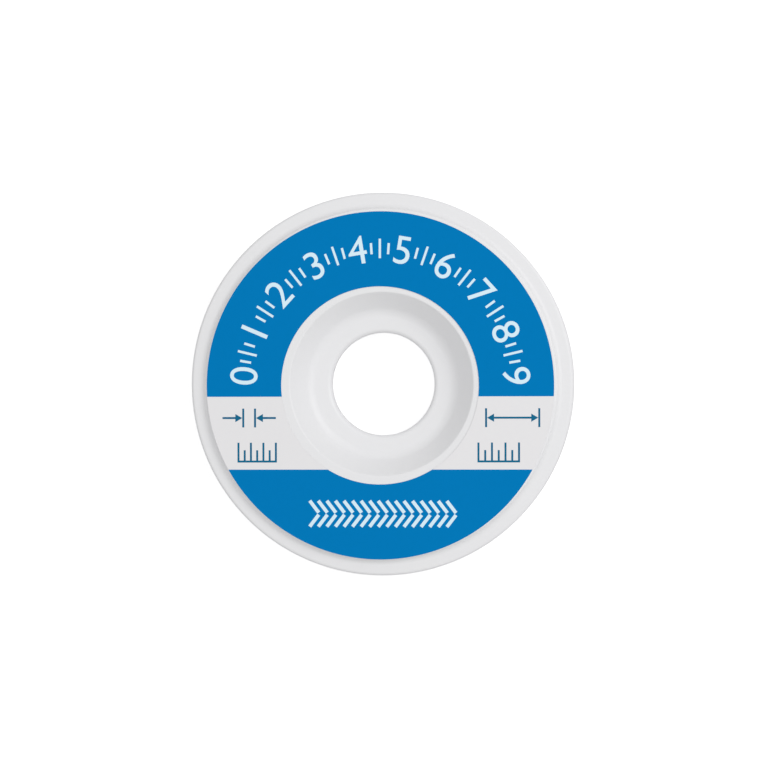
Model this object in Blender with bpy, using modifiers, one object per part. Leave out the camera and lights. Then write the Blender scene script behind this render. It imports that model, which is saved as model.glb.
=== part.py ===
"""Desoldering braid on its bobbin, at real size: metres, +Z up.

Two thin moulded halves, joined back to back, make the bobbin. The copper braid is wound in the
groove between them, and a ring-shaped label is stuck to the front face. The origin is on the
bobbin's axis, at the plane that the bobbin lies on.
"""

import math

import bmesh
import bpy

MM = 0.001

# Bobbin, measured over both halves
bobbin_radius = 27.5 * MM
bobbin_thickness = 9.5 * MM
wall = 1.2 * MM
joint_gap = 0.3 * MM

# Hole and dished centre of each half
hole_radius = 7.4 * MM
hole_edge_round = 0.7 * MM
dish_mouth_radius = 13.2 * MM
dish_mouth_round = 0.3 * MM
dish_side_angle = math.radians(38.0)
dish_cove_round = 1.8 * MM

# Flat land that carries the label, and the lower lip around it
land_radius = 25.1 * MM
land_edge_round = 0.3 * MM
lip_drop = 0.8 * MM
lip_slope_run = 0.35 * MM
lip_cove_round = 0.8 * MM
lip_edge_round = 0.45 * MM
groove_edge_round = 0.3 * MM

# Flat braid, wound in layers that are one turn wider each time; the last layer is part full
braid_width = 1.0 * MM
braid_thickness = 0.4 * MM
turn_slack = 0.05 * MM
layer_slack = 0.02 * MM
full_layers = 5
turns_in_last_layer = 3
braid_edge_round = 0.25 * MM
braid_edge_drop = 0.12 * MM
winding_clearance = 0.3 * MM

# Label, cut a little smaller than the land and stuck slightly off centre
label_outer_border = 0.15 * MM
label_inner_border = 1.0 * MM
label_thickness = 0.15 * MM
glue_thickness = 0.1 * MM
label_shift_x = -0.22 * MM
label_shift_y = -0.2 * MM

# Fineness of the round shapes
steps_around = 64
arc_step = math.radians(32.0)
merge_distance = 0.001 * MM


def clear_scene():
    for old in list(bpy.data.objects):
        bpy.data.objects.remove(old, do_unlink=True)


def make_collection(name):
    collection = bpy.data.collections.new(name)
    bpy.context.scene.collection.children.link(collection)
    return collection


def make_material(name, colour, roughness, metallic=0.0):
    material = bpy.data.materials.new(name)
    material.use_nodes = True
    shader = material.node_tree.nodes["Principled BSDF"]
    shader.inputs["Base Color"].default_value = (*colour, 1.0)
    shader.inputs["Roughness"].default_value = roughness
    shader.inputs["Metallic"].default_value = metallic
    return material


def corner_arc(before, corner, after, rounding):
    """The points of one outline corner: a single point, or an arc tangent to both of its sides."""
    if rounding == 0.0:
        return [corner]
    into = math.atan2(corner[1] - before[1], corner[0] - before[0])
    out_of = math.atan2(after[1] - corner[1], after[0] - corner[0])
    turn = math.remainder(out_of - into, math.tau)
    tangent = rounding * math.tan(abs(turn) / 2)
    start = (corner[0] - tangent * math.cos(into), corner[1] - tangent * math.sin(into))
    side = math.copysign(math.pi / 2, turn)
    centre = (start[0] + rounding * math.cos(into + side), start[1] + rounding * math.sin(into + side))
    pieces = max(2, math.ceil(abs(turn) / arc_step))
    points = []
    for i in range(pieces + 1):
        angle = into - side + turn * i / pieces
        points.append((centre[0] + rounding * math.cos(angle), centre[1] + rounding * math.sin(angle)))
    return points


def rounded_outline(corners):
    """A closed outline in the plane of radius and height, from (radius, height, rounding) corners."""
    points = []
    for i, (radius, height, rounding) in enumerate(corners):
        before = corners[i - 1]
        after = corners[(i + 1) % len(corners)]
        points += corner_arc(before[:2], (radius, height), after[:2], rounding)
    return points


def turned_mesh(name, outline):
    """A mesh of the closed outline's edges, which a Screw modifier turns about Z."""
    mesh = bpy.data.meshes.new(name)
    shape = bmesh.new()
    points = [shape.verts.new((radius, 0.0, height)) for radius, height in outline]
    for i, point in enumerate(points):
        shape.edges.new((point, points[(i + 1) % len(points)]))
    bmesh.ops.remove_doubles(shape, verts=points, dist=merge_distance)
    shape.to_mesh(mesh)
    shape.free()
    return mesh


def turned_object(name, mesh, material, collection):
    turned = bpy.data.objects.new(name, mesh)
    collection.objects.link(turned)
    if not mesh.materials:
        mesh.materials.append(material)
    screw = turned.modifiers.new("turn", "SCREW")
    screw.axis = "Z"
    screw.angle = math.tau
    screw.steps = steps_around
    screw.render_steps = steps_around
    screw.use_merge_vertices = True
    screw.merge_threshold = merge_distance
    screw.use_smooth_shade = True
    return turned


# Heights in a half are measured from the plane where the two halves meet.
half_thickness = bobbin_thickness / 2
web_back = joint_gap / 2
dish_floor = web_back + wall
lip_top = half_thickness - lip_drop


def dish_side_radius(height):
    """Radius of the dish's sloping side, on the face that shows."""
    return dish_mouth_radius - (half_thickness - height) * math.tan(dish_side_angle)


def groove_side_radius(height):
    """Radius of the same sloping wall, on the face towards the groove."""
    return dish_side_radius(height) + wall / math.cos(dish_side_angle)


def step_side_radius(height):
    """Radius of the steep step from the land down to the lip, on the face that shows."""
    return land_radius + (half_thickness - height) * lip_slope_run / lip_drop


def step_back_radius(height):
    """Radius of the same step on the face towards the groove."""
    return step_side_radius(height) - wall / math.cos(math.atan2(lip_slope_run, lip_drop))


def bobbin_half_outline():
    """Section of one half: web, dish, land, lip and back along the groove, all one wall thick."""
    land_back = half_thickness - wall
    lip_back = lip_top - wall
    return rounded_outline([
        (hole_radius, web_back, 0.0),
        (hole_radius, dish_floor, hole_edge_round),
        (dish_side_radius(dish_floor), dish_floor, dish_cove_round),
        (dish_mouth_radius, half_thickness, dish_mouth_round),
        (land_radius, half_thickness, land_edge_round),
        (step_side_radius(lip_top), lip_top, lip_cove_round),
        (bobbin_radius, lip_top, lip_edge_round),
        (bobbin_radius, lip_back, lip_edge_round),
        (step_back_radius(lip_back), lip_back, groove_edge_round),
        (step_back_radius(land_back), land_back, lip_cove_round),
        (groove_side_radius(land_back), land_back, groove_edge_round),
        (groove_side_radius(web_back), web_back, 0.0),
    ])


turn_pitch = braid_width + turn_slack
layer_pitch = braid_thickness + layer_slack
slant_clearance = winding_clearance / math.cos(dish_side_angle)


def layer_radius(layer):
    """Radius where a layer starts. The first, layer 0, lies where one turn just fits in the vee."""
    return groove_side_radius(turn_pitch / 2) + slant_clearance + layer * layer_pitch


def layer_half_width(radius):
    """Half the width of the whole turns that fit side by side in the groove at a radius."""
    first_radius = layer_radius(0)
    between_sides = turn_pitch / 2 + (radius - first_radius) / math.tan(dish_side_angle)
    between_flanges = half_thickness - wall - winding_clearance
    rounding_error = 0.001
    turns = math.floor(2 * min(between_sides, between_flanges) / turn_pitch + rounding_error)
    return turns * turn_pitch / 2


def turn_tops(inner_radius, top, turns):
    """The outer side of turns that show, from the top one down: each has rounded edges."""
    outer_radius = inner_radius + braid_thickness
    points = []
    for turn in range(turns):
        edge = top - turn * turn_pitch
        points += [
            (outer_radius - braid_edge_drop, edge),
            (outer_radius, edge - braid_edge_round),
            (outer_radius, edge - turn_pitch + braid_edge_round),
        ]
    points.append((outer_radius - braid_edge_drop, top - turns * turn_pitch))
    return points


def winding_outline():
    """Section of the wound braid: stepped ends up the vee, and each outer turn showing."""
    upper_end = []
    for layer in range(full_layers):
        inner = layer_radius(layer)
        half_width = layer_half_width(inner)
        upper_end += [(inner, half_width), (inner + layer_pitch, half_width)]
    lower_end = [(radius, -height) for radius, height in reversed(upper_end)]

    last_radius = layer_radius(full_layers)
    last_bottom = -layer_half_width(last_radius)
    last_top = last_bottom + turns_in_last_layer * turn_pitch
    under_radius = layer_radius(full_layers - 1)
    under_top = layer_half_width(under_radius)
    turns_left_showing = max(0, math.floor((under_top - last_top) / turn_pitch))

    outer_side = turn_tops(under_radius, under_top, turns_left_showing)
    outer_side.append((under_radius + braid_thickness, last_top))
    outer_side += turn_tops(last_radius, last_top, turns_in_last_layer)
    outer_side.append((last_radius, last_bottom))
    return upper_end[:-1] + outer_side + lower_end


def label_outline():
    label_outer_radius = land_radius - label_outer_border
    label_inner_radius = dish_mouth_radius + label_inner_border
    return [
        (label_inner_radius, 0.0),
        (label_inner_radius, label_thickness),
        (label_outer_radius, label_thickness),
        (label_outer_radius, 0.0),
    ]


def build_bobbin(collection):
    plastic = make_material("white_plastic", (0.80, 0.80, 0.82), 0.42)
    mesh = turned_mesh("bobbin_half", bobbin_half_outline())
    front = turned_object("bobbin_front", mesh, plastic, collection)
    back = turned_object("bobbin_back", mesh, plastic, collection)
    for half in (front, back):
        half.location.z = half_thickness
    back.rotation_euler.x = math.pi


def build_winding(collection):
    copper = make_material("copper_braid", (0.72, 0.33, 0.16), 0.38, 1.0)
    mesh = turned_mesh("braid_winding", winding_outline())
    winding = turned_object("braid_winding", mesh, copper, collection)
    winding.location.z = half_thickness


def build_label(collection):
    paper = make_material("label_paper", (0.0, 0.18, 0.50), 0.35)
    label = turned_object("label", turned_mesh("label", label_outline()), paper, collection)
    label.location = (label_shift_x, label_shift_y, bobbin_thickness + glue_thickness)


def main():
    clear_scene()
    collection = make_collection("desoldering_braid")
    build_bobbin(collection)
    build_winding(collection)
    build_label(collection)


main()
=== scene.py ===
# %% [markdown]
# # A bobbin of desoldering braid
#
# This lesson dresses a small object: flat copper braid, wound in the groove of a thin white
# plastic bobbin with a round paper label. Its solid model is loaded as a fixed frame. Every
# piece made here takes its place from that frame, and then gets the surface that the eye sees.

# %% Load the frame
import math
import random

import bmesh
import bpy
from mathutils import Matrix, Vector, noise


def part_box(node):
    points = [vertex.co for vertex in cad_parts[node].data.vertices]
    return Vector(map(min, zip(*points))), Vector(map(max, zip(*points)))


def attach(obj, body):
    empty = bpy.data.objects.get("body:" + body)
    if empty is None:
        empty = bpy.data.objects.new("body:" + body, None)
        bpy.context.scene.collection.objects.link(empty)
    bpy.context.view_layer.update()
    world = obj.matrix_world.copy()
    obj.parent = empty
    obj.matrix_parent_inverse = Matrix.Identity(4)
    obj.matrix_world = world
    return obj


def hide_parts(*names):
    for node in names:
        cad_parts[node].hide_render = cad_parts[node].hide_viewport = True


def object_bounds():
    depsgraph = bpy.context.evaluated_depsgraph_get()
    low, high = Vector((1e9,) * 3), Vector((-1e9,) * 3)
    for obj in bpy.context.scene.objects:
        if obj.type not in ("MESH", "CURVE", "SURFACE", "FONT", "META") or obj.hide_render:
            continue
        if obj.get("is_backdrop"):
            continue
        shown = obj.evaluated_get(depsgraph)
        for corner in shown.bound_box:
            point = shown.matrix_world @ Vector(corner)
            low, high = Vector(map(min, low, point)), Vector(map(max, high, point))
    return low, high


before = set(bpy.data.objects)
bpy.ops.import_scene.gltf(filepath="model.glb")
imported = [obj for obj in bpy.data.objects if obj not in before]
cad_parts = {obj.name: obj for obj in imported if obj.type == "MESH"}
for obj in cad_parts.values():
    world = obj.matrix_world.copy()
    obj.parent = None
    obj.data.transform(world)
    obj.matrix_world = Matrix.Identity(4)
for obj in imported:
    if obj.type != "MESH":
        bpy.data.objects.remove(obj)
cad_low, cad_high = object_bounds()
print("nodes:", sorted(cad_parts))

# %% [markdown]
# All lengths are in metres, because Blender's own unit is the metre. Sizes are easier to read
# in millimetres, so each one is written as a number of them times `MM`. The sizes that the
# frame already holds aren't written again: they are read from the boxes of its nodes.

# %% Sizes from the frame
MM = 0.001

front_low, front_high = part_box("bobbin_front")
back_low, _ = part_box("bobbin_back")
winding_low, winding_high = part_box("braid_winding")
label_low, label_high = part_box("label")

bobbin_radius = (front_high[0] - front_low[0]) / 2
bobbin_top = front_high[2]
half_thickness = (front_high[2] - back_low[2]) / 2
mid_height = (front_high[2] + back_low[2]) / 2
winding_radius = (winding_high[0] - winding_low[0]) / 2
label_radius = (label_high[0] - label_low[0]) / 2
label_centre = Vector(((label_low[0] + label_high[0]) / 2, (label_low[1] + label_high[1]) / 2, 0.0))
print("bobbin radius", round(bobbin_radius / MM, 2), "mm")
print("half thickness", round(half_thickness / MM, 2), "mm")

# %% [markdown]
# ## Camera
#
# The photograph was taken with a long lens, from almost straight above. The lower rim shows a
# little more on the right than on the left, so the camera stood a few degrees to the right. A
# camera with no rotation looks down -Z with +Y up. Turning it about Y swings it to the right.
# It aims a hair right of the bobbin's axis, which puts the bobbin in the same place in the frame.

# %% Camera
camera_distance = 500 * MM
camera_tilt = math.radians(4.0)
aim_shift = 0.04 * MM
sensor_width = 36.0
focal_length = 162.0
nearest_seen = 10 * MM
farthest_seen = 10.0

camera_data = bpy.data.cameras.new("camera")
camera_data.sensor_width = sensor_width
camera_data.lens = focal_length
camera_data.clip_start = nearest_seen
camera_data.clip_end = farthest_seen
camera = bpy.data.objects.new("camera", camera_data)
bpy.context.scene.collection.objects.link(camera)
aim = Vector((aim_shift, 0.0, mid_height))
towards_camera = Vector((math.sin(camera_tilt), 0.0, math.cos(camera_tilt)))
camera.location = aim + camera_distance * towards_camera
camera.rotation_euler = (0.0, camera_tilt, 0.0)
bpy.context.scene.camera = camera
print("camera at", [round(v / MM, 1) for v in camera.location], "mm")

# %% [markdown]
# ## Light
#
# The picture is a product shot on white. A bright world gives the flat, nearly shadowless look.
# It is brighter overhead than at the horizon, like a ceiling of diffuser cloth, so that upright
# faces come out a little darker than level ones. The strength follows how steeply a ray of
# light comes down, and is even below the horizon. The Standard view keeps the label's blue as
# strong as its ink, where the default view greys it.
#
# A world is a small tree of nodes, and so is every material later on, so one helper adds a
# node, sets it and links it. A node given as an input is linked by its first output.

# %% World
below_strength = 0.75
horizon_strength = 0.40
zenith_strength = 0.93


def add_node(tree, kind, inputs, **settings):
    """Adds a node, whose inputs may be plain values, sockets or other nodes."""
    node = tree.nodes.new("ShaderNode" + kind)
    for setting, value in settings.items():
        setattr(node, setting, value)
    for socket, value in inputs.items():
        if isinstance(value, bpy.types.Node):
            value = value.outputs[0]
        if isinstance(value, bpy.types.NodeSocket):
            tree.links.new(value, node.inputs[socket])
        else:
            node.inputs[socket].default_value = value
    return node


world = bpy.data.worlds.new("white_studio")
world.use_nodes = True
sky = world.node_tree
ray_direction = add_node(sky, "TexCoord", {}).outputs["Generated"]
steepness = add_node(sky, "SeparateXYZ", {"Vector": ray_direction}).outputs["Z"]
above = add_node(sky, "MapRange", {
    "Value": steepness,
    "To Min": horizon_strength,
    "To Max": zenith_strength,
})
is_below = add_node(sky, "Math", {0: steepness, 1: 0.0}, operation="LESS_THAN")
strength = add_node(sky, "Mix", {
    "Factor": is_below,
    "A": above,
    "B": below_strength,
}, data_type="FLOAT")
background = sky.nodes["Background"]
background.inputs["Color"].default_value = (1.0, 1.0, 1.0, 1.0)
sky.links.new(strength.outputs[0], background.inputs["Strength"])
bpy.context.scene.world = world
bpy.context.scene.view_settings.view_transform = "Standard"
print("world from", horizon_strength, "at the horizon to", zenith_strength, "overhead")

# %% [markdown]
# One large soft lamp stands high on the right, a little towards the top of the picture. It
# darkens the right side of the dish and the left side of the outer step, as in the photograph.
# Its place is easiest to set as a bearing, an elevation and a distance.

# %% Lamp
lamp_power = 1.05
lamp_size = 300 * MM
lamp_distance = 600 * MM
lamp_elevation = math.radians(45.0)
lamp_bearing = math.radians(25.0)

lamp_data = bpy.data.lights.new("soft_lamp", "AREA")
lamp_data.shape = "DISK"
lamp_data.size = lamp_size
lamp_data.energy = lamp_power
lamp = bpy.data.objects.new("soft_lamp", lamp_data)
bpy.context.scene.collection.objects.link(lamp)
towards_lamp = Vector((
    math.cos(lamp_elevation) * math.cos(lamp_bearing),
    math.cos(lamp_elevation) * math.sin(lamp_bearing),
    math.sin(lamp_elevation),
))
lamp.location = towards_lamp * lamp_distance
lamp.rotation_euler = towards_lamp.to_track_quat("Z", "Y").to_euler()
print("lamp at", [round(v / MM) for v in lamp.location], "mm")

# %% [markdown]
# ## Materials
#
# Every colour is written as the hex value that a paint program shows. Blender's shaders want
# linear light, so one function turns hex into linear, with the numbers of the sRGB standard.
# A value that is the same all over a surface is set on the shader's own socket.

# %% Colour and shader helpers
def linear(hex_colour):
    """The linear RGBA of an sRGB hex colour such as #808080."""
    channels = [int(hex_colour[i:i + 2], 16) / 255 for i in (1, 3, 5)]
    return (*[c / 12.92 if c <= 0.04045 else ((c + 0.055) / 1.055) ** 2.4 for c in channels], 1.0)


def new_material(name, **constants):
    """A material with its Principled shader, whose constants are set on its own sockets."""
    material = bpy.data.materials.new(name)
    material.use_nodes = True
    shader = material.node_tree.nodes["Principled BSDF"]
    for socket, value in constants.items():
        shader.inputs[socket.replace("_", " ")].default_value = value
    return material, material.node_tree, shader


print("mid grey is", round(linear("#808080")[0], 3), "in linear light")

# %% [markdown]
# No real surface has one even colour and one even shine, so each finish drifts a little in both,
# and has a grain. All three are noise. It reads Object coordinates, in metres, so a grain of so
# many millimetres needs a scale of one over that length. A Mix node's colour sockets share their
# names with its other ones, so they are addressed by number.

# %% Drift and grain helpers
MIX_FIRST, MIX_SECOND, MIX_RESULT = 6, 7, 2
colour_detail = 3.0
surface_detail = 2.0


def grain_scale(size):
    """The scale of a noise whose grains are about this long."""
    return 1.0 / size


def varied_colour(tree, coordinates, size, first, second):
    """A colour that drifts between two hex colours over patches of about this size."""
    patches = add_node(tree, "TexNoise", {
        "Vector": coordinates,
        "Scale": grain_scale(size),
        "Detail": colour_detail,
    })
    mix = add_node(tree, "Mix", {
        "Factor": patches,
        MIX_FIRST: linear(first),
        MIX_SECOND: linear(second),
    }, data_type="RGBA")
    return mix.outputs[MIX_RESULT]


def varied_roughness(tree, coordinates, size, low, high):
    """A roughness that drifts between two values over patches of about this size."""
    patches = add_node(tree, "TexNoise", {
        "Vector": coordinates,
        "Scale": grain_scale(size),
        "Detail": surface_detail,
    })
    spread = add_node(tree, "MapRange", {"Value": patches, "To Min": low, "To Max": high})
    return spread.outputs["Result"]


def grain_bump(tree, coordinates, size, height):
    """A bump of rounded grains of this size and height."""
    grains = add_node(tree, "TexNoise", {
        "Vector": coordinates,
        "Scale": grain_scale(size),
        "Detail": surface_detail,
    })
    return add_node(tree, "Bump", {"Height": grains, "Distance": height}).outputs["Normal"]


print("a grain of 0.2 mm needs a scale of", round(grain_scale(0.2 * MM)))

# %% [markdown]
# The bobbin is injection-moulded polystyrene, white all through. Its mould was left with a fine
# spark-eroded finish, so it shines softly and shows no sharp reflections. The pits of that finish
# are only hundredths of a millimetre wide, too fine for the render, so they are drawn about five
# times as coarse. A little light enters the thin walls and comes out again, which subsurface
# scattering gives.

# %% Moulded white polystyrene
plastic_colour_patch = 9 * MM
plastic_shine_patch = 2.5 * MM
light_depth = 0.4 * MM
spark_pit = 0.18 * MM
spark_pit_depth = 0.004 * MM


def moulded_polystyrene():
    material, tree, shader = new_material(
        "moulded_white_polystyrene",
        IOR=1.59,
        Specular_IOR_Level=0.35,
        Subsurface_Weight=0.12,
        Subsurface_Radius=(1.0, 1.0, 1.0),
        Subsurface_Scale=light_depth,
    )
    place = add_node(tree, "TexCoord", {}).outputs["Object"]
    colour = varied_colour(tree, place, plastic_colour_patch, "#E8E8EA", "#EAEAEB")
    roughness = varied_roughness(tree, place, plastic_shine_patch, low=0.40, high=0.50)
    pits = grain_bump(tree, place, spark_pit, spark_pit_depth)
    tree.links.new(colour, shader.inputs["Base Color"])
    tree.links.new(roughness, shader.inputs["Roughness"])
    tree.links.new(pits, shader.inputs["Normal"])
    return material


white_plastic = moulded_polystyrene()
print("made", white_plastic.name)

# %% [markdown]
# The label is coated paper, printed by offset. Coated paper is smooth with a faint tooth, and its
# ink lies in a film thousandths of a millimetre thick. So both share one surface, and only the
# colour differs. The blue is a strong process blue with nearly no red in it. The light marks are
# knocked out of it: bare paper, tinted a little by the ink around them. The thin lines of the
# white band look darker and duller than the solid blue. The specular level is kept low, because
# the bright ceiling would lay a white veil over the ink. The tooth of such paper is hundredths
# of a millimetre wide, too fine for the render, so it is drawn coarser too.

# %% Coated paper and its inks
ink_colour_patch = 0.7 * MM
paper_shine_patch = 1.2 * MM
paper_tooth = 0.12 * MM
paper_tooth_height = 0.002 * MM


def printed_paper(name, first, second):
    material, tree, shader = new_material(name, IOR=1.5, Specular_IOR_Level=0.02)
    place = add_node(tree, "TexCoord", {}).outputs["Object"]
    colour = varied_colour(tree, place, ink_colour_patch, first, second)
    roughness = varied_roughness(tree, place, paper_shine_patch, low=0.46, high=0.58)
    tooth = grain_bump(tree, place, paper_tooth, paper_tooth_height)
    tree.links.new(colour, shader.inputs["Base Color"])
    tree.links.new(roughness, shader.inputs["Roughness"])
    tree.links.new(tooth, shader.inputs["Normal"])
    return material


bare_paper = printed_paper("coated_white_paper", "#E7E6E8", "#EAE9EA")
blue_ink = printed_paper("offset_blue_ink", "#007BBE", "#0079B9")
white_ink = printed_paper("knocked_out_white", "#D8EFFA", "#DBF0FA")
band_ink = printed_paper("offset_blue_line", "#1A6A8E", "#17668A")
print("made", bare_paper.name, blue_ink.name, white_ink.name, band_ink.name)

# %% [markdown]
# The braid is bare copper wire, woven flat. Bundles of wires cross each other at a slant, over
# and under, so the strip shows rows of small pillows in a diamond pattern. The pillows come later,
# as real relief in the mesh. The material adds what is finer: the wires of each bundle, as bump and
# as painted highlight, and the dark gaps between bundles, which are painted shade. It reads the
# strip's UV map, which holds the place along and across the strip in metres, so it follows the
# winding and lines up with the relief.
#
# Adding and subtracting the two places gives the two slanted directions, counted in bundles. A
# sine over each bundle makes a pillow where two cross. A chequered pattern of whole bundles says
# which of the two lies on top, and so which way the wires run.

# %% Weave of the braid
BRAID_UV = "along_and_across"
stitch = 0.44 * MM
wires_in_bundle = 4
pillow_power = 0.35


def weave_pattern(tree):
    """Two nodes, each from 0 to 1: the height of the pillows, and that of the wires on top."""
    place = add_node(tree, "SeparateXYZ", {
        "Vector": add_node(tree, "UVMap", {}, uv_map=BRAID_UV),
    })
    along = add_node(tree, "Math", {0: place.outputs["X"], 1: stitch}, operation="DIVIDE")
    across = add_node(tree, "Math", {0: place.outputs["Y"], 1: stitch}, operation="DIVIDE")
    one_way = add_node(tree, "Math", {0: along, 1: across}, operation="ADD")
    other_way = add_node(tree, "Math", {0: along, 1: across}, operation="SUBTRACT")
    waves, wholes, wires = [], [], []
    for bundles in (one_way, other_way):
        within = add_node(tree, "Math", {0: bundles}, operation="FRACT")
        bend = add_node(tree, "Math", {0: within, 1: math.pi}, operation="MULTIPLY")
        waves.append(add_node(tree, "Math", {0: bend}, operation="SINE"))
        wholes.append(add_node(tree, "Math", {0: bundles}, operation="FLOOR"))
        ripple = wires_in_bundle * math.pi
        ripples = add_node(tree, "Math", {0: bundles, 1: ripple}, operation="MULTIPLY")
        swing = add_node(tree, "Math", {0: ripples}, operation="SINE")
        wires.append(add_node(tree, "Math", {0: swing}, operation="ABSOLUTE"))
    crossing = add_node(tree, "Math", {0: waves[0], 1: waves[1]}, operation="MULTIPLY")
    pillow = add_node(tree, "Math", {0: crossing, 1: pillow_power}, operation="POWER")
    cell = add_node(tree, "Math", {0: wholes[0], 1: wholes[1]}, operation="ADD")
    odd = add_node(tree, "Math", {0: cell, 1: 2.0}, operation="MODULO")
    on_top = add_node(tree, "Math", {0: odd}, operation="ABSOLUTE")
    wire = add_node(tree, "Mix", {
        "Factor": on_top,
        "A": wires[0],
        "B": wires[1],
    }, data_type="FLOAT")
    return pillow, wire


print(wires_in_bundle, "wires in a bundle of", round(stitch / math.sqrt(2) / MM, 2), "mm")

# %% [markdown]
# The colour holds painted light: the weave's gaps are painted dark, as shade, and its crossings and
# the tops of its wires are painted bright, as highlight. Over both lies a slow drift of a duller
# brown, where air has dulled the copper. The bump holds only the wires and the edges of the
# pillows. A metal keeps the default IOR.

# %% Woven copper
weave_depth = 0.05 * MM
wire_height = 0.25
wire_contrast = 0.3
dull_patch = 3 * MM
dull_share = 0.22
copper_shine_patch = 1.5 * MM


def woven_copper():
    material, tree, shader = new_material("woven_bare_copper", Metallic=1.0)
    pillow, wire = weave_pattern(tree)
    finer = add_node(tree, "Math", {0: wire, 1: wire_height}, operation="MULTIPLY")
    height = add_node(tree, "Math", {0: pillow, 1: finer}, operation="ADD")
    bump = add_node(tree, "Bump", {"Height": height, "Distance": weave_depth})
    # Painted highlight on the wire tops and the crossings, and painted shade between the wires and
    # in the gaps between bundles.
    stripes = add_node(tree, "Math", {0: wire, 1: wire_contrast}, operation="MULTIPLY")
    glint = add_node(tree, "Math", {0: stripes, 1: 1 - wire_contrast}, operation="ADD")
    painted_shade_and_highlight = add_node(tree, "Mix", {
        "Factor": add_node(tree, "Math", {0: pillow, 1: glint}, operation="MULTIPLY"),
        MIX_FIRST: linear("#B3663F"),
        MIX_SECOND: linear("#FFC8A2"),
    }, data_type="RGBA")
    place = add_node(tree, "TexCoord", {}).outputs["Object"]
    dull = add_node(tree, "TexNoise", {
        "Vector": place,
        "Scale": grain_scale(dull_patch),
        "Detail": colour_detail,
    })
    aged = add_node(tree, "Mix", {
        "Factor": add_node(tree, "Math", {0: dull, 1: dull_share}, operation="MULTIPLY"),
        MIX_FIRST: painted_shade_and_highlight.outputs[MIX_RESULT],
        MIX_SECOND: linear("#D98F66"),
    }, data_type="RGBA")
    roughness = varied_roughness(tree, place, copper_shine_patch, low=0.34, high=0.48)
    tree.links.new(aged.outputs[MIX_RESULT], shader.inputs["Base Color"])
    tree.links.new(roughness, shader.inputs["Roughness"])
    tree.links.new(bump.outputs["Normal"], shader.inputs["Normal"])
    return material


copper = woven_copper()
print("made", copper.name)

# %% [markdown]
# ## Finishing a piece
#
# Each piece is shaped as a bmesh and finished in the same way. Its normals are made to point
# outwards, its round faces are shaded smooth and its edges kept sharp. Then it is told which
# body it rides on and which finish it has, and the solid that it takes the place of is hidden. The
# step that turns the normals passes over faces smaller than about a tenth of a square millimetre.
# So a shape is made a thousand times larger for that step, as if its metres were millimetres.

# %% Finish helper
sharp_angle = math.radians(38.0)


def face_outwards(shape):
    """Turns the faces of closed shapes outwards, at a thousand times their size."""
    bmesh.ops.scale(shape, verts=shape.verts, vec=(1 / MM, 1 / MM, 1 / MM))
    bmesh.ops.recalc_face_normals(shape, faces=shape.faces)
    bmesh.ops.scale(shape, verts=shape.verts, vec=(MM, MM, MM))


def finished(shape, name, materials, replaces=None):
    """Makes a bmesh into a piece that rides on the object's one body."""
    face_outwards(shape)
    mesh = bpy.data.meshes.new(name)
    shape.to_mesh(mesh)
    shape.free()
    mesh.shade_smooth()
    mesh.set_sharp_from_angle(angle=sharp_angle)
    for material in materials:
        mesh.materials.append(material)
    piece = bpy.data.objects.new(name, mesh)
    bpy.context.scene.collection.objects.link(piece)
    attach(piece, "root")
    if replaces:
        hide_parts(replaces)
    print(name, "has", len(mesh.polygons), "faces")
    return piece


print("edges stay sharp from", round(math.degrees(sharp_angle)), "degrees")

# %% [markdown]
# ## The bobbin's halves
#
# Each half is a thin dished disc, and both come from one mould. A lathe shape like this could be
# cut from a cylinder, but it is simplest to draw half of its section as a closed wire and spin it
# round the axis. The section is listed by its corners first: the hole, the dish, the flat land
# for the label, the step down to the lip, and the same way back along the groove, one wall
# thickness further in.

# %% Section of one half
wall = 1.2 * MM
joint_line = 0.04 * MM
hole_radius = 7.4 * MM
hole_edge_round = 0.7 * MM
dish_floor = 1.35 * MM
dish_mouth_radius = 13.2 * MM
dish_mouth_round = 0.3 * MM
dish_side_angle = math.radians(38.0)
dish_cove_round = 1.8 * MM
land_radius = 25.1 * MM
land_edge_round = 0.3 * MM
lip_drop = 0.8 * MM
lip_slope_run = 0.35 * MM
lip_cove_round = 0.8 * MM
lip_edge_round = 0.45 * MM
groove_edge_round = 0.3 * MM


def dish_side_radius(height):
    """Radius of the dish's sloping side at a height above the mid-plane."""
    return dish_mouth_radius - (half_thickness - height) * math.tan(dish_side_angle)


def groove_side_radius(height):
    """Radius of the same slope on the face towards the groove."""
    return dish_side_radius(height) + wall / math.cos(dish_side_angle)


def step_side_radius(height):
    """Radius of the steep step from the land down to the lip."""
    return land_radius + (half_thickness - height) * lip_slope_run / lip_drop


def step_back_radius(height):
    """Radius of the same step on the face towards the groove."""
    return step_side_radius(height) - wall / math.cos(math.atan2(lip_slope_run, lip_drop))


def half_section():
    """The corners of the section, each as radius, height above the mid-plane, and rounding."""
    lip_top = half_thickness - lip_drop
    lip_back = lip_top - wall
    land_back = half_thickness - wall
    web_back = joint_line / 2
    return [
        (hole_radius, web_back, 0.0),
        (hole_radius, dish_floor, hole_edge_round),
        (dish_side_radius(dish_floor), dish_floor, dish_cove_round),
        (dish_mouth_radius, half_thickness, dish_mouth_round),
        (land_radius, half_thickness, land_edge_round),
        (step_side_radius(lip_top), lip_top, lip_cove_round),
        (bobbin_radius, lip_top, lip_edge_round),
        (bobbin_radius, lip_back, lip_edge_round),
        (step_back_radius(lip_back), lip_back, groove_edge_round),
        (step_back_radius(land_back), land_back, lip_cove_round),
        (groove_side_radius(land_back), land_back, groove_edge_round),
        (groove_side_radius(web_back), web_back, 0.0),
    ]


print("section has", len(half_section()), "corners")

# %% [markdown]
# The wire starts with sharp corners. Bevelling a corner's point, with its own width, rounds it.
# The width that a bevel takes is the length it cuts off each side, so it is worked out from the
# radius wanted and the angle between the sides. The spin merges its last copy with its first,
# which closes the ring. The back half is the same shape, turned over.

# %% Spin the two halves
round_segments = 6
spin_steps = 256


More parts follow.
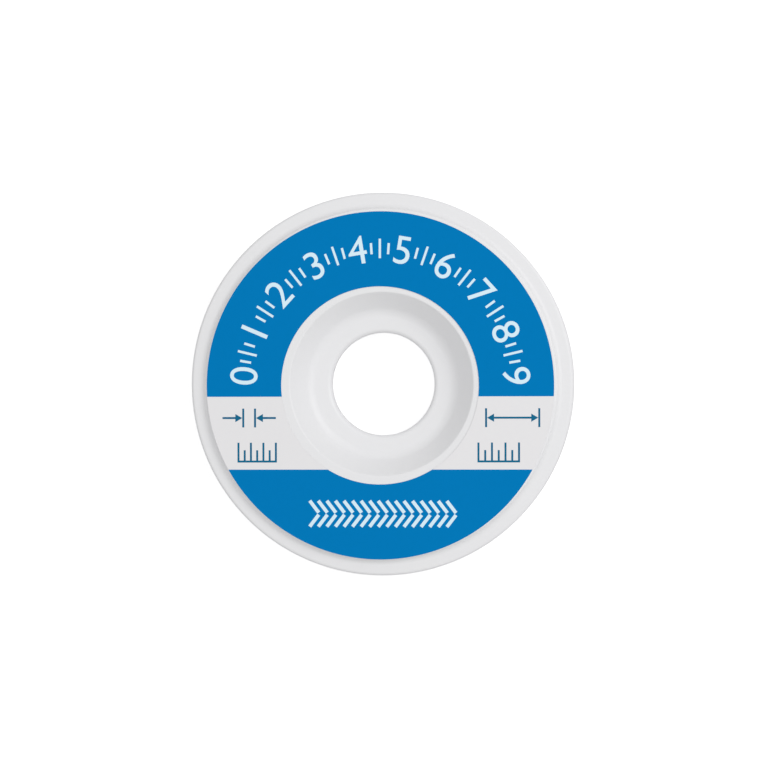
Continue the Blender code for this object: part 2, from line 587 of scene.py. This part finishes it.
def rounded_wire(corners):
    """A bmesh of the closed section, its corners rounded."""
    wire = bmesh.new()
    points = [wire.verts.new((radius, 0.0, height)) for radius, height, _ in corners]
    for i, point in enumerate(points):
        wire.edges.new((point, points[(i + 1) % len(points)]))
    places = [point.co.copy() for point in points]
    for i, (_, _, rounding) in enumerate(corners):
        if rounding == 0.0:
            continue
        turn = (places[i] - places[i - 1]).angle(places[(i + 1) % len(places)] - places[i])
        bmesh.ops.bevel(
            wire, geom=[points[i]], affect="VERTICES", offset=rounding * math.tan(turn / 2),
            segments=round_segments, profile=0.5, material=-1,
        )
    return wire


def bobbin_half(name, node, turned_over):
    shape = rounded_wire(half_section())
    bmesh.ops.spin(
        shape, geom=shape.verts[:] + shape.edges[:], cent=(0, 0, 0), axis=(0, 0, 1),
        angle=math.tau, steps=spin_steps, use_merge=True,
    )
    if turned_over:
        half_turn = Matrix.Rotation(math.pi, 3, "X")
        bmesh.ops.rotate(shape, verts=shape.verts, cent=(0, 0, 0), matrix=half_turn)
    bmesh.ops.translate(shape, verts=shape.verts, vec=(0, 0, mid_height))
    return finished(shape, name, [white_plastic], replaces=node)


bobbin_half("front_half", "bobbin_front", turned_over=False)
bobbin_half("back_half", "bobbin_back", turned_over=True)

# %% [markdown]
# ## The label
#
# The label is a ring of paper a tenth of a millimetre thick. Two circles are bridged into a flat
# ring, and two straight cuts with `bisect_plane` split it where the blue ends and the white band
# begins. Pulling the ring up gives the paper its thickness. Each face then takes its ink by where
# it lies, with bare paper on the cut edges.

# %% Label ring
paper_thickness = 0.1 * MM
glue_line = 0.005 * MM
label_hole_radius = 14.2 * MM
band_top = -1.80 * MM
band_bottom = -12.26 * MM
band_slope = math.radians(0.12)
label_steps = 256
paper_bottom = bobbin_top + glue_line
paper_top = paper_bottom + paper_thickness


def label_ring():
    shape = bmesh.new()
    flat = Matrix.Translation(label_centre + Vector((0, 0, paper_bottom)))
    for radius in (label_radius, label_hole_radius):
        bmesh.ops.create_circle(shape, segments=label_steps, radius=radius, matrix=flat)
    bmesh.ops.bridge_loops(shape, edges=shape.edges[:])
    across = Vector((-math.sin(band_slope), math.cos(band_slope), 0.0))
    for height in (band_top, band_bottom):
        bmesh.ops.bisect_plane(
            shape, geom=shape.verts[:] + shape.edges[:] + shape.faces[:],
            plane_co=(0, height, 0), plane_no=across,
        )
    raised = bmesh.ops.extrude_face_region(shape, geom=shape.faces[:])["geom"]
    points = [item for item in raised if isinstance(item, bmesh.types.BMVert)]
    bmesh.ops.translate(shape, verts=points, vec=(0, 0, paper_thickness))
    shape.normal_update()
    for face in shape.faces:
        middle = face.calc_center_median()
        is_top = middle.z > paper_top - paper_thickness / 4
        in_band = band_bottom < middle.dot(across) < band_top
        face.material_index = 1 if is_top and not in_band else 0
    return shape


finished(label_ring(), "paper_label", [bare_paper, blue_ink], replaces="label")

# %% [markdown]
# ## Print on the label
#
# The print is generic: a plain dial scale in the upper field, measuring lines in the white band
# and a plait of slanted bars below. Each mark is a sliver of ink that stands hundredths of a
# millimetre above the paper, so that it is real geometry and never flickers against it. A
# straight mark is a stretched cube.

# %% Straight strokes of ink
ink_thickness = 0.014 * MM
ink_sink = 0.004 * MM
ink_height = paper_top - ink_sink + ink_thickness / 2


def add_bar(shape, start, end, stroke):
    """Adds a straight stroke of ink between two points on the label."""
    start, end = Vector(start), Vector(end)
    run = end - start
    turn = Matrix.Rotation(math.atan2(run.y, run.x), 4, "Z")
    size = Matrix.Diagonal((run.length, stroke, ink_thickness, 1.0))
    middle = (start + end) / 2
    place = Matrix.Translation((middle.x, middle.y, ink_height))
    bmesh.ops.create_cube(shape, size=1.0, matrix=place @ turn @ size)


print("ink stands", round((ink_thickness - ink_sink) / MM, 3), "mm above the paper")

# %% [markdown]
# The dial scale runs along an arc from left to right: ten digits that stand upright from the
# centre, with three ticks between each two. A digit is a text object in Blender's own font. It is
# made a mesh, centred and brought to a height of one, and only then scaled and turned into
# place. That way its outline keeps real curves, which a texture wouldn't.

# %% Digits of the dial scale
scale_radius = 19.63 * MM
scale_start = math.radians(176.0)
scale_end = math.radians(4.0)
digit_count = 10
digit_height = 4.0 * MM
curve_fineness = 6
merge_distance = 0.0005 * MM


def scale_angle(step):
    return scale_start + (scale_end - scale_start) * step / (digit_count - 1)


def digit_mesh(digit):
    """The mesh of a digit in Blender's own font, lying flat, centred, one unit high and thick."""
    text = bpy.data.curves.new("digit", "FONT")
    text.body = str(digit)
    text.resolution_u = curve_fineness
    text.extrude = 0.5
    holder = bpy.data.objects.new("digit", text)
    bpy.context.scene.collection.objects.link(holder)
    bpy.context.view_layer.update()
    solid = holder.evaluated_get(bpy.context.evaluated_depsgraph_get())
    mesh = bpy.data.meshes.new_from_object(solid)
    bpy.data.objects.remove(holder)
    low = [min(v.co[axis] for v in mesh.vertices) for axis in range(3)]
    high = [max(v.co[axis] for v in mesh.vertices) for axis in range(3)]
    mesh.transform(Matrix.Translation([-(a + b) / 2 for a, b in zip(low, high)]))
    size = 1 / (high[1] - low[1])
    mesh.transform(Matrix.Diagonal((size, size, 1.0, 1.0)))
    return mesh


def dial_digits():
    shape = bmesh.new()
    size = Matrix.Diagonal((digit_height, digit_height, ink_thickness, 1.0))
    height = Vector((0, 0, ink_height))
    for digit in range(digit_count):
        mesh = digit_mesh(digit)
        angle = scale_angle(digit)
        outwards = Vector((math.cos(angle), math.sin(angle), 0.0)) * scale_radius
        turn = Matrix.Rotation(angle - math.pi / 2, 4, "Z")
        mesh.transform(Matrix.Translation(label_centre + outwards + height) @ turn @ size)
        shape.from_mesh(mesh)
        bpy.data.meshes.remove(mesh)
    bmesh.ops.remove_doubles(shape, verts=shape.verts, dist=merge_distance)
    return shape


finished(dial_digits(), "dial_digits", [white_ink])

# %% [markdown]
# The ticks point at the centre of the label, and the middle one of each three is longer, as on a
# ruler. They keep to the middle of the gap between two digits.

# %% Ticks of the dial scale
ticks_between = 3
tick_length = 1.6 * MM
middle_tick_length = 2.8 * MM
tick_stroke = 0.34 * MM
tick_pitch = math.radians(3.6)


def dial_ticks():
    shape = bmesh.new()
    for gap in range(digit_count - 1):
        for tick in range(1, ticks_between + 1):
            from_middle = tick - (ticks_between + 1) / 2
            angle = scale_angle(gap + 0.5) - from_middle * tick_pitch
            length = middle_tick_length if from_middle == 0 else tick_length
            outwards = Vector((math.cos(angle), math.sin(angle)))
            centre = label_centre.xy + outwards * scale_radius
            reach = outwards * length / 2
            add_bar(shape, centre - reach, centre + reach, tick_stroke)
    return shape


finished(dial_ticks(), "dial_ticks", [white_ink])

# %% [markdown]
# The white band holds the signs that a drawing uses for a measure. On the left two arrows point
# at a narrow gap from outside, and on the right one long line has an arrow at each end. An
# arrow's head is a cone with three sides and no taper, which makes a three-sided prism. The
# centre of its triangle lies two thirds of its length from the tip.

# %% Measuring lines
line_stroke = 0.28 * MM
head_length = 1.0 * MM
row_height = 2.7 * MM
upper_row = -4.85 * MM
upper_left = (-22.9 * MM, -15.2 * MM)
upper_right = (15.0 * MM, 22.6 * MM)
width_gap = 1.7 * MM
length_by_radius = 1.5


def add_arrow_head(shape, tip, heading):
    """Adds a filled triangle of ink whose tip is at a point and points along a heading."""
    radius = head_length / length_by_radius
    middle = Vector(tip) - radius * Vector((math.cos(heading), math.sin(heading)))
    place = Matrix.Translation((middle.x, middle.y, ink_height))
    turn = Matrix.Rotation(heading - math.pi / 2, 4, "Z")
    bmesh.ops.create_cone(
        shape, segments=3, radius1=radius, radius2=radius, depth=ink_thickness, cap_ends=True,
        cap_tris=False, matrix=place @ turn,
    )


def add_upright(shape, x):
    """Adds an upright line as high as the row."""
    bottom, top = upper_row - row_height / 2, upper_row + row_height / 2
    add_bar(shape, (x, bottom), (x, top), line_stroke)


def width_marks(shape, low, high):
    """Two upright lines with an arrow pointing at each from outside, for a width."""
    middle = (low + high) / 2
    for side, end in ((-1, low), (1, high)):
        edge = middle + side * width_gap / 2
        add_upright(shape, edge)
        tip = edge + side * line_stroke / 2
        add_bar(shape, (end, upper_row), (tip + side * head_length, upper_row), line_stroke)
        add_arrow_head(shape, (tip, upper_row), math.pi if side > 0 else 0.0)


def length_marks(shape, low, high):
    """A long line with an arrow at each end that meets an upright line, for a length."""
    head = head_length + line_stroke / 2
    add_bar(shape, (low + head, upper_row), (high - head, upper_row), line_stroke)
    for side, end in ((-1, low), (1, high)):
        add_upright(shape, end)
        tip = end - side * line_stroke / 2
        add_arrow_head(shape, (tip, upper_row), 0.0 if side > 0 else math.pi)


print("the long line is", round((upper_right[1] - upper_right[0]) / MM, 1), "mm long")

# %% [markdown]
# Under each sign lies a piece of a ruler's edge: a base line with ticks on it, every other one
# longer. The ticks stop a hair above the base line, so that no two strokes share an edge, and
# each stays a closed shape of its own. The band was printed a fraction of a degree out of level,
# so all of its lines are turned by that much in one step at the end.

# %% Rulers, and the whole band
lower_row = -9.75 * MM
lower_left = (-20.6 * MM, -15.2 * MM)
lower_right = (13.9 * MM, 19.7 * MM)
ruler_step = 0.96 * MM
short_tick_share = 0.6
ink_gap = 0.002 * MM


def ruler_marks(shape, low, high):
    """A ruler's edge, with every other tick longer."""
    base = lower_row - row_height / 2
    overhang = line_stroke / 2
    add_bar(shape, (low - overhang, base), (high + overhang, base), line_stroke)
    steps = round((high - low) / ruler_step)
    for i in range(steps + 1):
        x = low + (high - low) * i / steps
        top = base + row_height * (1.0 if i % 2 == 0 else short_tick_share)
        add_bar(shape, (x, base + line_stroke / 2 + ink_gap), (x, top), line_stroke)


def band_lines():
    shape = bmesh.new()
    width_marks(shape, *upper_left)
    length_marks(shape, *upper_right)
    ruler_marks(shape, *lower_left)
    ruler_marks(shape, *lower_right)
    slope = Matrix.Rotation(band_slope, 3, "Z")
    bmesh.ops.rotate(shape, verts=shape.verts, cent=(0, 0, 0), matrix=slope)
    return shape


finished(band_lines(), "band_lines", [band_ink])

# %% [markdown]
# The lower field shows what is on the bobbin: two rows of slanted bars that meet in a point, like
# the strands of a flat plait. Each row could be an array, but a loop over both rows puts every
# bar straight into one mesh.

# %% Plait of bars in the lower field
plait_centre = Vector((0.2 * MM, -18.6 * MM))
plait_length = 21.0 * MM
plait_height = 3.7 * MM
plait_stroke = 0.5 * MM
plait_row_gap = 0.6 * plait_stroke
plait_bars = 17
plait_lean = 1.3 * MM


def plait():
    shape = bmesh.new()
    step = (plait_length - plait_lean) / (plait_bars - 1)
    for row in (-1, 1):
        for i in range(plait_bars):
            from_centre = -plait_length / 2 + plait_lean + i * step
            inner = plait_centre + Vector((from_centre, row * plait_row_gap / 2))
            rise = row * (plait_height - plait_row_gap) / 2
            outer = inner + Vector((-plait_lean, rise))
            add_bar(shape, inner, outer, plait_stroke)
    return shape


finished(plait(), "plait_band", [white_ink])

# %% [markdown]
# ## The wound braid
#
# The braid is 1 mm wide and about 1.5 m long. Its turns lie side by side in layers that run
# across the groove and back. The groove widens outwards, so each layer is a turn wider than the
# one below it, and the last is only part full. First the place of every turn is listed, by its
# layer, its inside radius and its height above the mid-plane.

# %% Place of each turn
braid_width = 1.0 * MM
braid_thickness = 0.4 * MM
turn_pitch = 1.05 * MM
layer_pitch = 0.42 * MM
full_layers = 5
turns_in_last_layer = 3

last_layer_inside = winding_radius - braid_thickness
coil_places = []
for layer in range(full_layers + 1):
    inside = last_layer_inside - (full_layers - layer) * layer_pitch
    onward = 1 if (full_layers - layer) % 2 == 0 else -1
    turns = layer + 1 if layer < full_layers else turns_in_last_layer
    for turn in range(turns):
        coil_places.append((layer, inside, onward * (turn - layer / 2) * turn_pitch))
print(len(coil_places), "turns in", full_layers + 1, "layers")

# %% [markdown]
# A wound turn lies in a flat ring and steps over to the next place in a short zone. No two turns
# may run through each other, so each has to leave its place before the one behind moves in. The
# zones are in that order round the bobbin: first the turns of the top layer step sideways, then
# the last turn of the layer below climbs into the free place, then that layer steps sideways,
# and so on inwards. Each zone has a start and a width, in shares of a turn.

# %% Zones where turns step over
shown_zone = 0.08
hidden_zone = 0.03

zone = 0.0
sideways_zone, climb_zone = {}, {}
for layer in reversed(range(full_layers + 1)):
    width = shown_zone if layer >= full_layers - 1 else hidden_zone
    if layer < full_layers:
        climb_zone[layer] = (zone, width)
        zone += width
    sideways_zone[layer] = (zone, width)
    zone += width

coil_start = zone - 1.0
coil_end = len(coil_places) - 1.0
coil_length = sum(math.tau * (inside + braid_thickness / 2) for _, inside, _ in coil_places)
coil_length *= (coil_end - coil_start) / len(coil_places)
print(round(coil_end - coil_start, 2), "turns,", round(coil_length, 3), "m of braid")

# %% [markdown]
# The strip is drawn in stretches, each with its own number of steps to a turn. The turns that
# show get four steps to a stitch, so that the weave can be pressed into them. These are the top
# layer, and the first turns of the layer below, which it leaves bare. The turns inside the coil
# stay coarse and smooth, because nobody sees them and the mesh has to stay light.

# %% Stretches of the strip
stitches_a_turn = 192
steps_a_stitch = 4
shown_steps = steps_a_stitch * stitches_a_turn
hidden_steps = 60
shown_before = 0.875
shown_after = 2.25
climb_before = 1.0

top_layer_turn = len(coil_places) - turns_in_last_layer
layer_below_turn = top_layer_turn - full_layers
bare_start = layer_below_turn - shown_before
bare_end = layer_below_turn + shown_after
top_start = top_layer_turn - climb_before
stretches = (
    (coil_start, bare_start, hidden_steps),
    (bare_start, bare_end, shown_steps),
    (bare_end, top_start, hidden_steps),
    (top_start, coil_end, shown_steps),
)
print("turns that show:", bare_end - bare_start + coil_end - top_start)

# %% [markdown]
# The braid is made as it is in the factory: first a straight flat strip, then wound. A rounded
# rectangle is extruded to the whole length, and the long edges are cut into short steps, as a
# loop cut does. Its outer face gets columns a quarter of a stitch apart, like the steps along
# it. Extruding leaves the old end face where it was, which closes the strip at its very start
# and is deleted everywhere else. The operator makes its cuts one after another, and their
# rounding adds up to a few hundredths of a millimetre along the strip, a little differently in
# each run, which is too little to see.

# %% Straight strip
edge_round = 0.17 * MM
edge_segments = 2
upper_columns = 6
lay_along_x = Matrix(((0, 0, 1), (1, 0, 0), (0, 1, 0)))


def strip_section():
    """A rounded rectangle in the YZ plane, its upper side divided into columns."""
    shape = bmesh.new()
    bmesh.ops.create_grid(shape, x_segments=1, y_segments=1, size=0.5)
    bmesh.ops.scale(shape, verts=shape.verts, vec=(braid_width, braid_thickness, 1.0))
    bmesh.ops.bevel(
        shape, geom=shape.verts[:], affect="VERTICES", offset=edge_round,
        segments=edge_segments, profile=0.5, material=-1,
    )
    upper = max(shape.edges, key=lambda edge: edge.verts[0].co.y + edge.verts[1].co.y)
    bmesh.ops.subdivide_edges(shape, edges=[upper], cuts=upper_columns - 1)
    bmesh.ops.rotate(shape, verts=shape.verts, cent=(0, 0, 0), matrix=lay_along_x)
    return shape


def straight_strip():
    """The strip along X, with one unit of X for each turn, from the coil's start to its end."""
    shape = strip_section()
    end = shape.faces[:]
    bmesh.ops.translate(shape, verts=shape.verts, vec=(coil_start, 0, 0))
    for stretch_start, stretch_end, steps_a_turn in stretches:
        turns = stretch_end - stretch_start
        drawn = bmesh.ops.extrude_face_region(shape, geom=end)["geom"]
        if stretch_start > coil_start:
            bmesh.ops.delete(shape, geom=end, context="FACES_ONLY")
        end = [item for item in drawn if isinstance(item, bmesh.types.BMFace)]
        points = [item for item in drawn if isinstance(item, bmesh.types.BMVert)]
        bmesh.ops.translate(shape, verts=points, vec=(turns, 0, 0))
        long_edges = [edge for edge in shape.edges if edge.calc_length() > 1]
        cuts = round(turns * steps_a_turn) - 1
        bmesh.ops.subdivide_edges(shape, edges=long_edges, cuts=cuts, use_grid_fill=True)
    face_outwards(shape)
    return shape


strip = straight_strip()
print("straight strip has", len(strip.verts), "points,", len(strip.faces), "faces")

# %% [markdown]
# The weave is pressed into the strip while it is straight. A pillow's height comes from the
# product of two waves, one for each direction that the bundles run in, so it is nothing in the
# gaps and one on top of a crossing. Its square root keeps the tops broad and the gaps narrow.
# Each point sinks along its own normal by what its pillow lacks, so the strip never grows past
# its real thickness. The UV map is written in the same loop.

# %% Press the weave into the strip
relief = 0.04 * MM


def shows(turns_done):
    """Whether a place on the strip, in turns from its start, is in a stretch that shows."""
    return any(start < turns_done <= end for start, end, steps in stretches if steps == shown_steps)


def pillow_height(along, across):
    """Height of the weave at a place on the strip, from 0 in the gaps to 1 on a crossing."""
    one_way = math.sin(math.pi * ((along + across) / stitch % 1.0))
    other_way = math.sin(math.pi * ((along - across) / stitch % 1.0))
    return math.sqrt(max(one_way * other_way, 0.0))


def press_weave(shape):
    uv_layer = shape.loops.layers.uv.new(BRAID_UV)
    shape.normal_update()
    for vert in shape.verts:
        turns_done, sideways, outwards = vert.co
        along = turns_done * stitches_a_turn * stitch
        across = sideways + math.copysign(braid_thickness / 2 - outwards, sideways)
        for loop in vert.link_loops:
            loop[uv_layer].uv = (along, across)
        if shows(turns_done):
            vert.co -= vert.normal * relief * (1 - pillow_height(along, across))


press_weave(strip)
print("a stitch is", round(stitch / MM, 2), "mm long, and", stitches_a_turn, "make a turn")

# %% [markdown]
# To wind the strip, every point is moved to its place on the coil. A turn eases into a step and
# out of it, as a springy braid does, and a climbing turn slides out first and rises after that.
# A slight sway keeps the turns from looking machined.

# %% Wind the strip
free_end_angle = math.radians(-62.0)
sway_size = 0.018 * MM
sway_length = 6 * MM


def eased(share):
    """Goes smoothly from 0 to 1 as the share does, and stays there outside."""
    share = min(max(share, 0.0), 1.0)
    return share * share * (3 - 2 * share)


def coil_place(turns_done):
    """Inside radius, height and angle of the strip after so many turns."""
    turn = max(math.floor(turns_done), 0)
    layer, inside, height = coil_places[turn]
    if turns_done < coil_end:
        next_layer, next_inside, next_height = coil_places[turn + 1]
        climbs = next_layer > layer
        start, width = climb_zone[layer] if climbs else sideways_zone[layer]
        done = (turns_done - turn - start) / width
        inside += (next_inside - inside) * eased(2 * done - 1)
        height += (next_height - height) * eased(2 * done if climbs else done)
    return inside, height, free_end_angle + math.tau * (turns_done - coil_end)


def wind(shape):
    length_a_turn = coil_length / (coil_end - coil_start)
    for vert in shape.verts:
        inside, height, angle = coil_place(vert.co.x)
        travelled = vert.co.x * length_a_turn
        sway = noise.noise(Vector((travelled / sway_length, 0.0, 0.0))) * sway_size
        radius = inside + braid_thickness / 2 + vert.co.z
        vert.co = Vector((
            radius * math.cos(angle),
            radius * math.sin(angle),
            mid_height + height + vert.co.y + sway,
        ))
    return shape


finished(wind(strip), "wound_braid", [copper], replaces="braid_winding")

# %% [markdown]
# Where a braid is cut off, its wires spring apart a little. Each wire here is a small circle,
# spun through a short arc, so it comes out as a curved rod. A single drawn wire is smoother than
# the weave, so its copper has no bump and a sharper shine. Random numbers from a fixed seed
# choose the arcs, so the end looks the same every time the script runs. A wire near one edge of
# the braid springs towards that edge, and all spring outwards a little.

# %% Frayed end
wire_radius = 0.035 * MM
wire_count = 22
wire_sides = 6
wire_steps = 6
wire_lengths = (0.7 * MM, 1.7 * MM)
wire_bend = math.radians(28.0)
wire_bend_shares = (0.3, 1.0)
wire_root = 0.15 * MM
spread_across = 0.42
spread_through = 0.30
edge_pull = 2
outward_pull = 0.9
wire_seed = 7
wire_colour_patch = 0.4 * MM
wire_shine_patch = 0.3 * MM


def bare_wire():
    material, tree, shader = new_material("bare_copper_wire", Metallic=1.0)
    place = add_node(tree, "TexCoord", {}).outputs["Object"]
    colour = varied_colour(tree, place, wire_colour_patch, "#E39B74", "#FBC3A0")
    roughness = varied_roughness(tree, place, wire_shine_patch, low=0.22, high=0.36)
    tree.links.new(colour, shader.inputs["Base Color"])
    tree.links.new(roughness, shader.inputs["Roughness"])
    return material


def frayed_end():
    chance = random.Random(wire_seed)
    shape = bmesh.new()
    inside, height, angle = coil_place(coil_end)
    outwards = Vector((math.cos(angle), math.sin(angle), 0.0))
    onwards = Vector((-math.sin(angle), math.cos(angle), 0.0))
    upwards = Vector((0.0, 0.0, 1.0))
    end = outwards * (inside + braid_thickness / 2) + upwards * (mid_height + height)
    facing = onwards.to_track_quat("Z", "Y").to_matrix().to_4x4()
    for _ in range(wire_count):
        across = chance.uniform(-spread_across, spread_across) * braid_width
        depth = chance.uniform(-spread_through, spread_through) * braid_thickness
        root = end + upwards * across + outwards * depth - onwards * wire_root
        bend = chance.uniform(*wire_bend_shares) * wire_bend
        length = chance.uniform(*wire_lengths)
        sideways = upwards * across / braid_width * edge_pull
        towards = (sideways + outwards * chance.uniform(0.0, outward_pull)).normalized()
        ring = bmesh.ops.create_circle(
            shape, cap_ends=True, segments=wire_sides, radius=wire_radius,
            matrix=Matrix.Translation(root) @ facing,
        )["verts"]
        disc = [face for face in shape.faces if all(v in ring for v in face.verts)]
        bmesh.ops.spin(
            shape, geom=disc, cent=root + towards * length / bend, axis=onwards.cross(towards),
            angle=bend, steps=wire_steps, use_merge=False,
        )
    return shape


finished(frayed_end(), "frayed_end", [bare_wire()])

# %% [markdown]
# ## Floor
#
# The photograph's ground is pure white. The floor is pale and matt, and glows slightly, as
# backlit acrylic does, so that it stays white next to the bobbin without hiding all shadow. It
# would throw so much light back up that the rim of the white bobbin is lost against it. Ray
# visibility keeps that light off the bobbin: the floor is seen, but lights nothing.

# %% Floor
floor_size = 4.0
floor_glow = 0.45
floor_drop = 0.01 * MM


def white_floor():
    shape = bmesh.new()
    bmesh.ops.create_grid(shape, x_segments=1, y_segments=1, size=floor_size / 2)
    bmesh.ops.translate(shape, verts=shape.verts, vec=(0, 0, -floor_drop))
    mesh = bpy.data.meshes.new("floor")
    shape.to_mesh(mesh)
    shape.free()
    material, _, _ = new_material(
        "backlit_white_acrylic",
        Base_Color=linear("#F2F2F2"),
        Roughness=0.9,
        Specular_IOR_Level=0.0,
        Emission_Color=(1.0, 1.0, 1.0, 1.0),
        Emission_Strength=floor_glow,
    )
    mesh.materials.append(material)
    floor = bpy.data.objects.new("floor", mesh)
    bpy.context.scene.collection.objects.link(floor)
    floor.visible_diffuse = False
    floor.visible_glossy = False
    floor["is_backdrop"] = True
    return floor


print("made the", white_floor().name, "of", floor_size, "m")

# %% [markdown]
# ## Last check
#
# The dressed object has to fill the same box as the solid model, so both boxes are measured and
# compared, and how far the dressed one grows past the solid one is printed.

# %% Print how far the box grows
low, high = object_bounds()
growth = [b - a for a, b in zip((*cad_low, *cad_high), (*low, *high))]
print("grows by, in mm:", [round(v / MM, 3) for v in growth])
